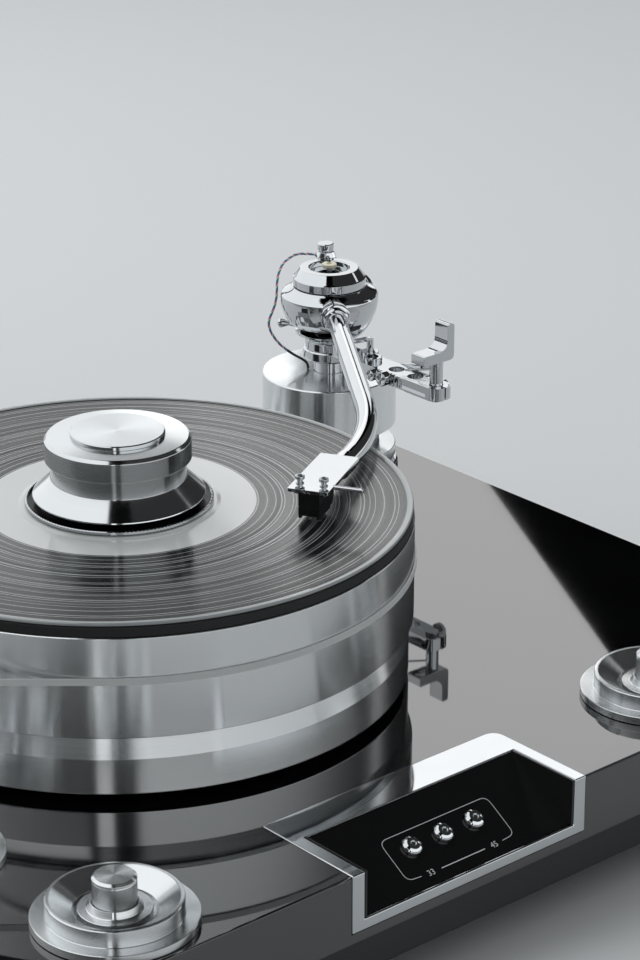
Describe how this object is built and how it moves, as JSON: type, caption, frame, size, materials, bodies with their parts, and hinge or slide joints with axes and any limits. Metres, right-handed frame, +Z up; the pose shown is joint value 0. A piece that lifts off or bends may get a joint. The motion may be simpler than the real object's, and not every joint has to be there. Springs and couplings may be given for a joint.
{
  "type": "turntable",
  "caption": "Belt-drive turntable with a tall metal platter, a record clamp, a control panel let into its front edge and a long tonearm on a round pod.",
  "frame": {"origin": "middle of the object's footprint, at the height of the feet's soles", "axes": "+Z up, +X to the right as seen by a person in front of the control panel, +Y to the back; the tonearm stands at the back right"},
  "size_m": [0.6182, 0.4906, 0.2122],
  "materials": {
    "piano_black_lacquer": "piano black lacquer on MDF, high gloss",
    "chassis_black": "matt black lacquer on MDF",
    "black_coated_steel": "fine black powder coat",
    "spun_aluminium": "spun satin",
    "polished_aluminium": "polished, mirror-like",
    "chromed_metal": "polished chrome",
    "satin_steel": "satin",
    "black_panel": "fine matt texture",
    "mat_rubber": "matt",
    "vinyl": "grooved gloss",
    "belt_rubber": "satin",
    "board_laminate": "solder mask",
    "cartridge_black": "satin gloss",
    "lead_cover": "twisted fine leads"
  },
  "bodies": {
    "base": {"plinth": "piano_black_lacquer", "lower_chassis": "chassis_black", "bottom_cover": "black_coated_steel", "foot_front_left": "spun_aluminium", "foot_front_right": "spun_aluminium", "foot_back_left": "spun_aluminium", "foot_back_right": "spun_aluminium", "panel_frame": "chromed_metal", "control_panel": "black_panel", "circuit_board": "board_laminate", "bearing_housing": "satin_steel", "bearing_ball": "satin_steel", "adjuster_cup_front_left": "spun_aluminium", "adjuster_cup_front_right": "spun_aluminium", "adjuster_cup_side": "spun_aluminium", "adjuster_cup_back_left": "spun_aluminium", "adjuster_cup_back_right": "spun_aluminium", "motor_housing": "black_coated_steel", "motor": "satin_steel", "belt": "belt_rubber", "pod_base_ring": "chromed_metal", "arm_pod": "polished_aluminium", "arm_pillar": "chromed_metal", "lift_bracket": "chromed_metal", "arm_rest": "chromed_metal", "rest_screw": "chromed_metal", "lead_post": "chromed_metal", "tonearm_lead": "lead_cover", "rear_socket_plate": "satin_steel"},
    "platter": {"platter_spindle": "satin_steel", "lower_platter": "polished_aluminium", "upper_platter": "polished_aluminium", "platter_mat": "mat_rubber", "record": "vinyl"},
    "clamp": {"clamp_base": "satin_steel", "clamp_body": "polished_aluminium", "clamp_cap": "spun_aluminium"},
    "pulley": {"motor_pulley": "polished_aluminium"},
    "yoke": {"arm_yoke": "satin_steel"},
    "arm": {"bearing_bowl": "chromed_metal", "bearing_cap": "chromed_metal", "arm_tube": "chromed_metal", "headshell": "chromed_metal", "cartridge": "cartridge_black", "stylus": "satin_steel", "finger_lift": "chromed_metal", "headshell_screw_outer": "satin_steel", "headshell_screw_inner": "satin_steel"},
    "balance_weight": {"counterweight": "chromed_metal"},
    "lever": {"cue_lever": "chromed_metal"},
    "lift": {"lift_platform": "chromed_metal"},
    "lock": {"lock_ring": "chromed_metal"},
    "knob_front_left": {"adjuster_knob_front_left": "spun_aluminium"},
    "knob_front_right": {"adjuster_knob_front_right": "spun_aluminium"},
    "knob_side": {"adjuster_knob_side": "spun_aluminium"},
    "knob_back_left": {"adjuster_knob_back_left": "spun_aluminium"},
    "knob_back_right": {"adjuster_knob_back_right": "spun_aluminium"},
    "push_left": {"button_left": "chromed_metal"},
    "push_middle": {"button_middle": "chromed_metal"},
    "push_right": {"button_right": "chromed_metal"}
  },
  "joints": [
    {"name": "platter_spin", "type": "hinge", "parent": "base", "child": "platter", "pos_m": [-0.0141, -0.00155, 0.0829], "axis": [0, 0, 1], "continuous": true},
    {"name": "clamp_lift", "type": "slide", "parent": "platter", "child": "clamp", "axis": [0, 0, 1], "range_m": [0, 0.04]},
    {"name": "pulley_spin", "type": "hinge", "parent": "base", "child": "pulley", "pos_m": [-0.2641, 0.03845, 0.1379], "axis": [0, 0, 1], "continuous": true},
    {"name": "arm_swing", "type": "hinge", "parent": "base", "child": "yoke", "pos_m": [0.2579, 0.14645, 0.1829], "axis": [0, 0, 1], "range_deg": [-8, 17]},
    {"name": "arm_tilt", "type": "hinge", "parent": "yoke", "child": "arm", "pos_m": [0.2579, 0.14645, 0.1859], "axis": [-0.8202, 0.5721, 0], "range_deg": [0, 5]},
    {"name": "counterweight_slide", "type": "slide", "parent": "arm", "child": "balance_weight", "axis": [0.5721, 0.8202, 0], "range_m": [-0.004, 0.004]},
    {"name": "cue_lever_turn", "type": "hinge", "parent": "base", "child": "lever", "pos_m": [0.2479, 0.08545, 0.1571], "axis": [-1, 0, 0], "range_deg": [0, 60]},
    {"name": "lift_rise", "type": "slide", "parent": "base", "child": "lift", "axis": [0, 0, 1], "range_m": [0, 0.0028]},
    {"name": "lock_ring_turn", "type": "hinge", "parent": "base", "child": "lock", "pos_m": [0.2579, 0.14645, 0.1639], "axis": [0, 0, 1], "range_deg": [-20, 20]},
    {"name": "adjuster_turn_front_left", "type": "hinge", "parent": "base", "child": "knob_front_left", "pos_m": [-0.1746, -0.20405, 0.0859], "axis": [0, 0, 1], "range_deg": [-360, 360]},
    {"name": "adjuster_turn_front_right", "type": "hinge", "parent": "base", "child": "knob_front_right", "pos_m": [0.1746, -0.20405, 0.0859], "axis": [0, 0, 1], "range_deg": [-360, 360]},
    {"name": "adjuster_turn_side", "type": "hinge", "parent": "base", "child": "knob_side", "pos_m": [-0.2075, -0.10065, 0.0859], "axis": [0, 0, 1], "range_deg": [-360, 360]},
    {"name": "adjuster_turn_back_left", "type": "hinge", "parent": "base", "child": "knob_back_left", "pos_m": [-0.1746, 0.20455, 0.0859], "axis": [0, 0, 1], "range_deg": [-360, 360]},
    {"name": "adjuster_turn_back_right", "type": "hinge", "parent": "base", "child": "knob_back_right", "pos_m": [0.1746, 0.20455, 0.0859], "axis": [0, 0, 1], "range_deg": [-360, 360]},
    {"name": "button_press_left", "type": "slide", "parent": "base", "child": "push_left", "axis": [0, 0.517, -0.856], "range_m": [0, 0.0012], "stiffness_N_per_m": 400, "springref_m": -0.001},
    {"name": "button_press_middle", "type": "slide", "parent": "base", "child": "push_middle", "axis": [0, 0.517, -0.856], "range_m": [0, 0.0012], "stiffness_N_per_m": 400, "springref_m": -0.001},
    {"name": "button_press_right", "type": "slide", "parent": "base", "child": "push_right", "axis": [0, 0.517, -0.856], "range_m": [0, 0.0012], "stiffness_N_per_m": 400, "springref_m": -0.001}
  ],
  "couplings": [
    {"joint": "pulley_spin", "follows": "platter_spin", "ratio": 8.4167},
    {"joint": "cue_lever_turn", "follows": "lift_rise", "rad_per_m": 374}
  ]
}
